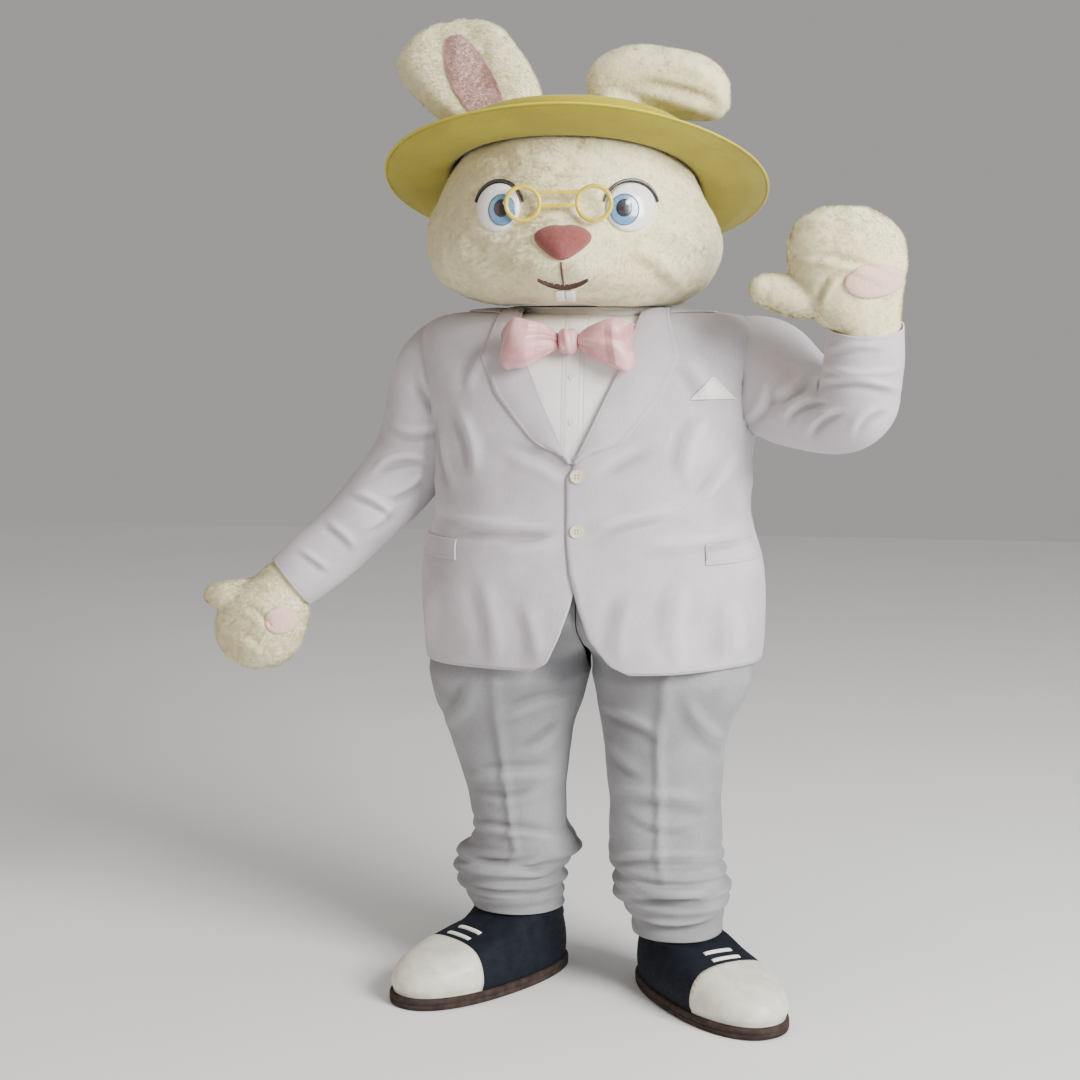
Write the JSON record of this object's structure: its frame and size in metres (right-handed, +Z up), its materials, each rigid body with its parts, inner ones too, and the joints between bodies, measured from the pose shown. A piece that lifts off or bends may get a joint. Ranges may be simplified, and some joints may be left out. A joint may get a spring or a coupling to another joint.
{
  "type": "mascot costume",
  "caption": "Rabbit mascot costume as worn: plush head with hat and glasses, suit jacket, shirt, bow tie, trousers, mitten gloves and sneakers, waving, hollow inside",
  "frame": {"origin": "base of the wearer's neck, 1.30 m above the floor, on the body's middle line", "axes": "+Z is up, the costume faces -Y, and +X is the wearer's left"},
  "size_m": [1.3567, 0.7021, 1.8998],
  "materials": {
    "plush": "short dense cream plush over foam",
    "ear_pink": "short pink plush",
    "felt": "stiff mustard wool felt",
    "suit": "light lilac-grey plain woven suiting",
    "trouser": "blue-grey plain woven suiting with pressed creases",
    "shirt": "smooth white cotton",
    "satin": "pink satin",
    "eye_white": "glossy white",
    "iris_blue": "glossy blue",
    "black": "glossy black",
    "nose_rose": "dusty rose short velour",
    "mouth_dark": "dark brown felt",
    "tooth": "satin ivory",
    "frame_yellow": "yellow enamel",
    "button_yellow": "pale yellow, soft gloss",
    "pad_pink": "pale pink short plush",
    "shoe_navy": "navy canvas",
    "shoe_cream": "cream rubber, soft gloss",
    "sole_dark": "dark brown rubber",
    "lace": "white woven lace"
  },
  "bodies": {
    "root": {"head_face": "plush", "head_back": "plush", "ear_left": "plush", "ear_right": "plush", "glove_left": "plush", "glove_right": "plush", "ear_right_inner": "ear_pink", "hat_brim": "felt", "hat_crown": "felt", "jacket_front_left": "suit", "jacket_front_right": "suit", "jacket_back_left": "suit", "jacket_back_right": "suit", "sleeve_left": "suit", "sleeve_right": "suit", "lapel_left": "suit", "lapel_right": "suit", "collar_back": "suit", "pocket_flap_left": "suit", "pocket_flap_right": "suit", "trouser_left_front": "trouser", "trouser_left_back": "trouser", "trouser_right_front": "trouser", "trouser_right_back": "trouser", "shirt_front": "shirt", "shirt_collar": "shirt", "pocket_square": "shirt", "bow_knot": "satin", "bow_wing_left": "satin", "bow_wing_right": "satin", "eye_left": "eye_white", "eye_right": "eye_white", "iris_left": "iris_blue", "iris_right": "iris_blue", "pupil_left": "black", "pupil_right": "black", "lid_left": "black", "lid_right": "black", "nose": "nose_rose", "mouth": "mouth_dark", "philtrum": "mouth_dark", "tooth_left": "tooth", "tooth_right": "tooth", "shirt_button_1": "tooth", "shirt_button_2": "tooth", "glasses": "frame_yellow", "button_upper": "button_yellow", "button_lower": "button_yellow", "palm_pad_left": "pad_pink", "palm_pad_right": "pad_pink", "shoe_left_quarter": "shoe_navy", "shoe_right_quarter": "shoe_navy", "shoe_left_toe_cap": "shoe_cream", "shoe_right_toe_cap": "shoe_cream", "shoe_left_sole": "sole_dark", "shoe_right_sole": "sole_dark", "shoe_left_lace_1": "lace", "shoe_left_lace_2": "lace", "shoe_right_lace_1": "lace", "shoe_right_lace_2": "lace"}
  },
  "joints": []
}
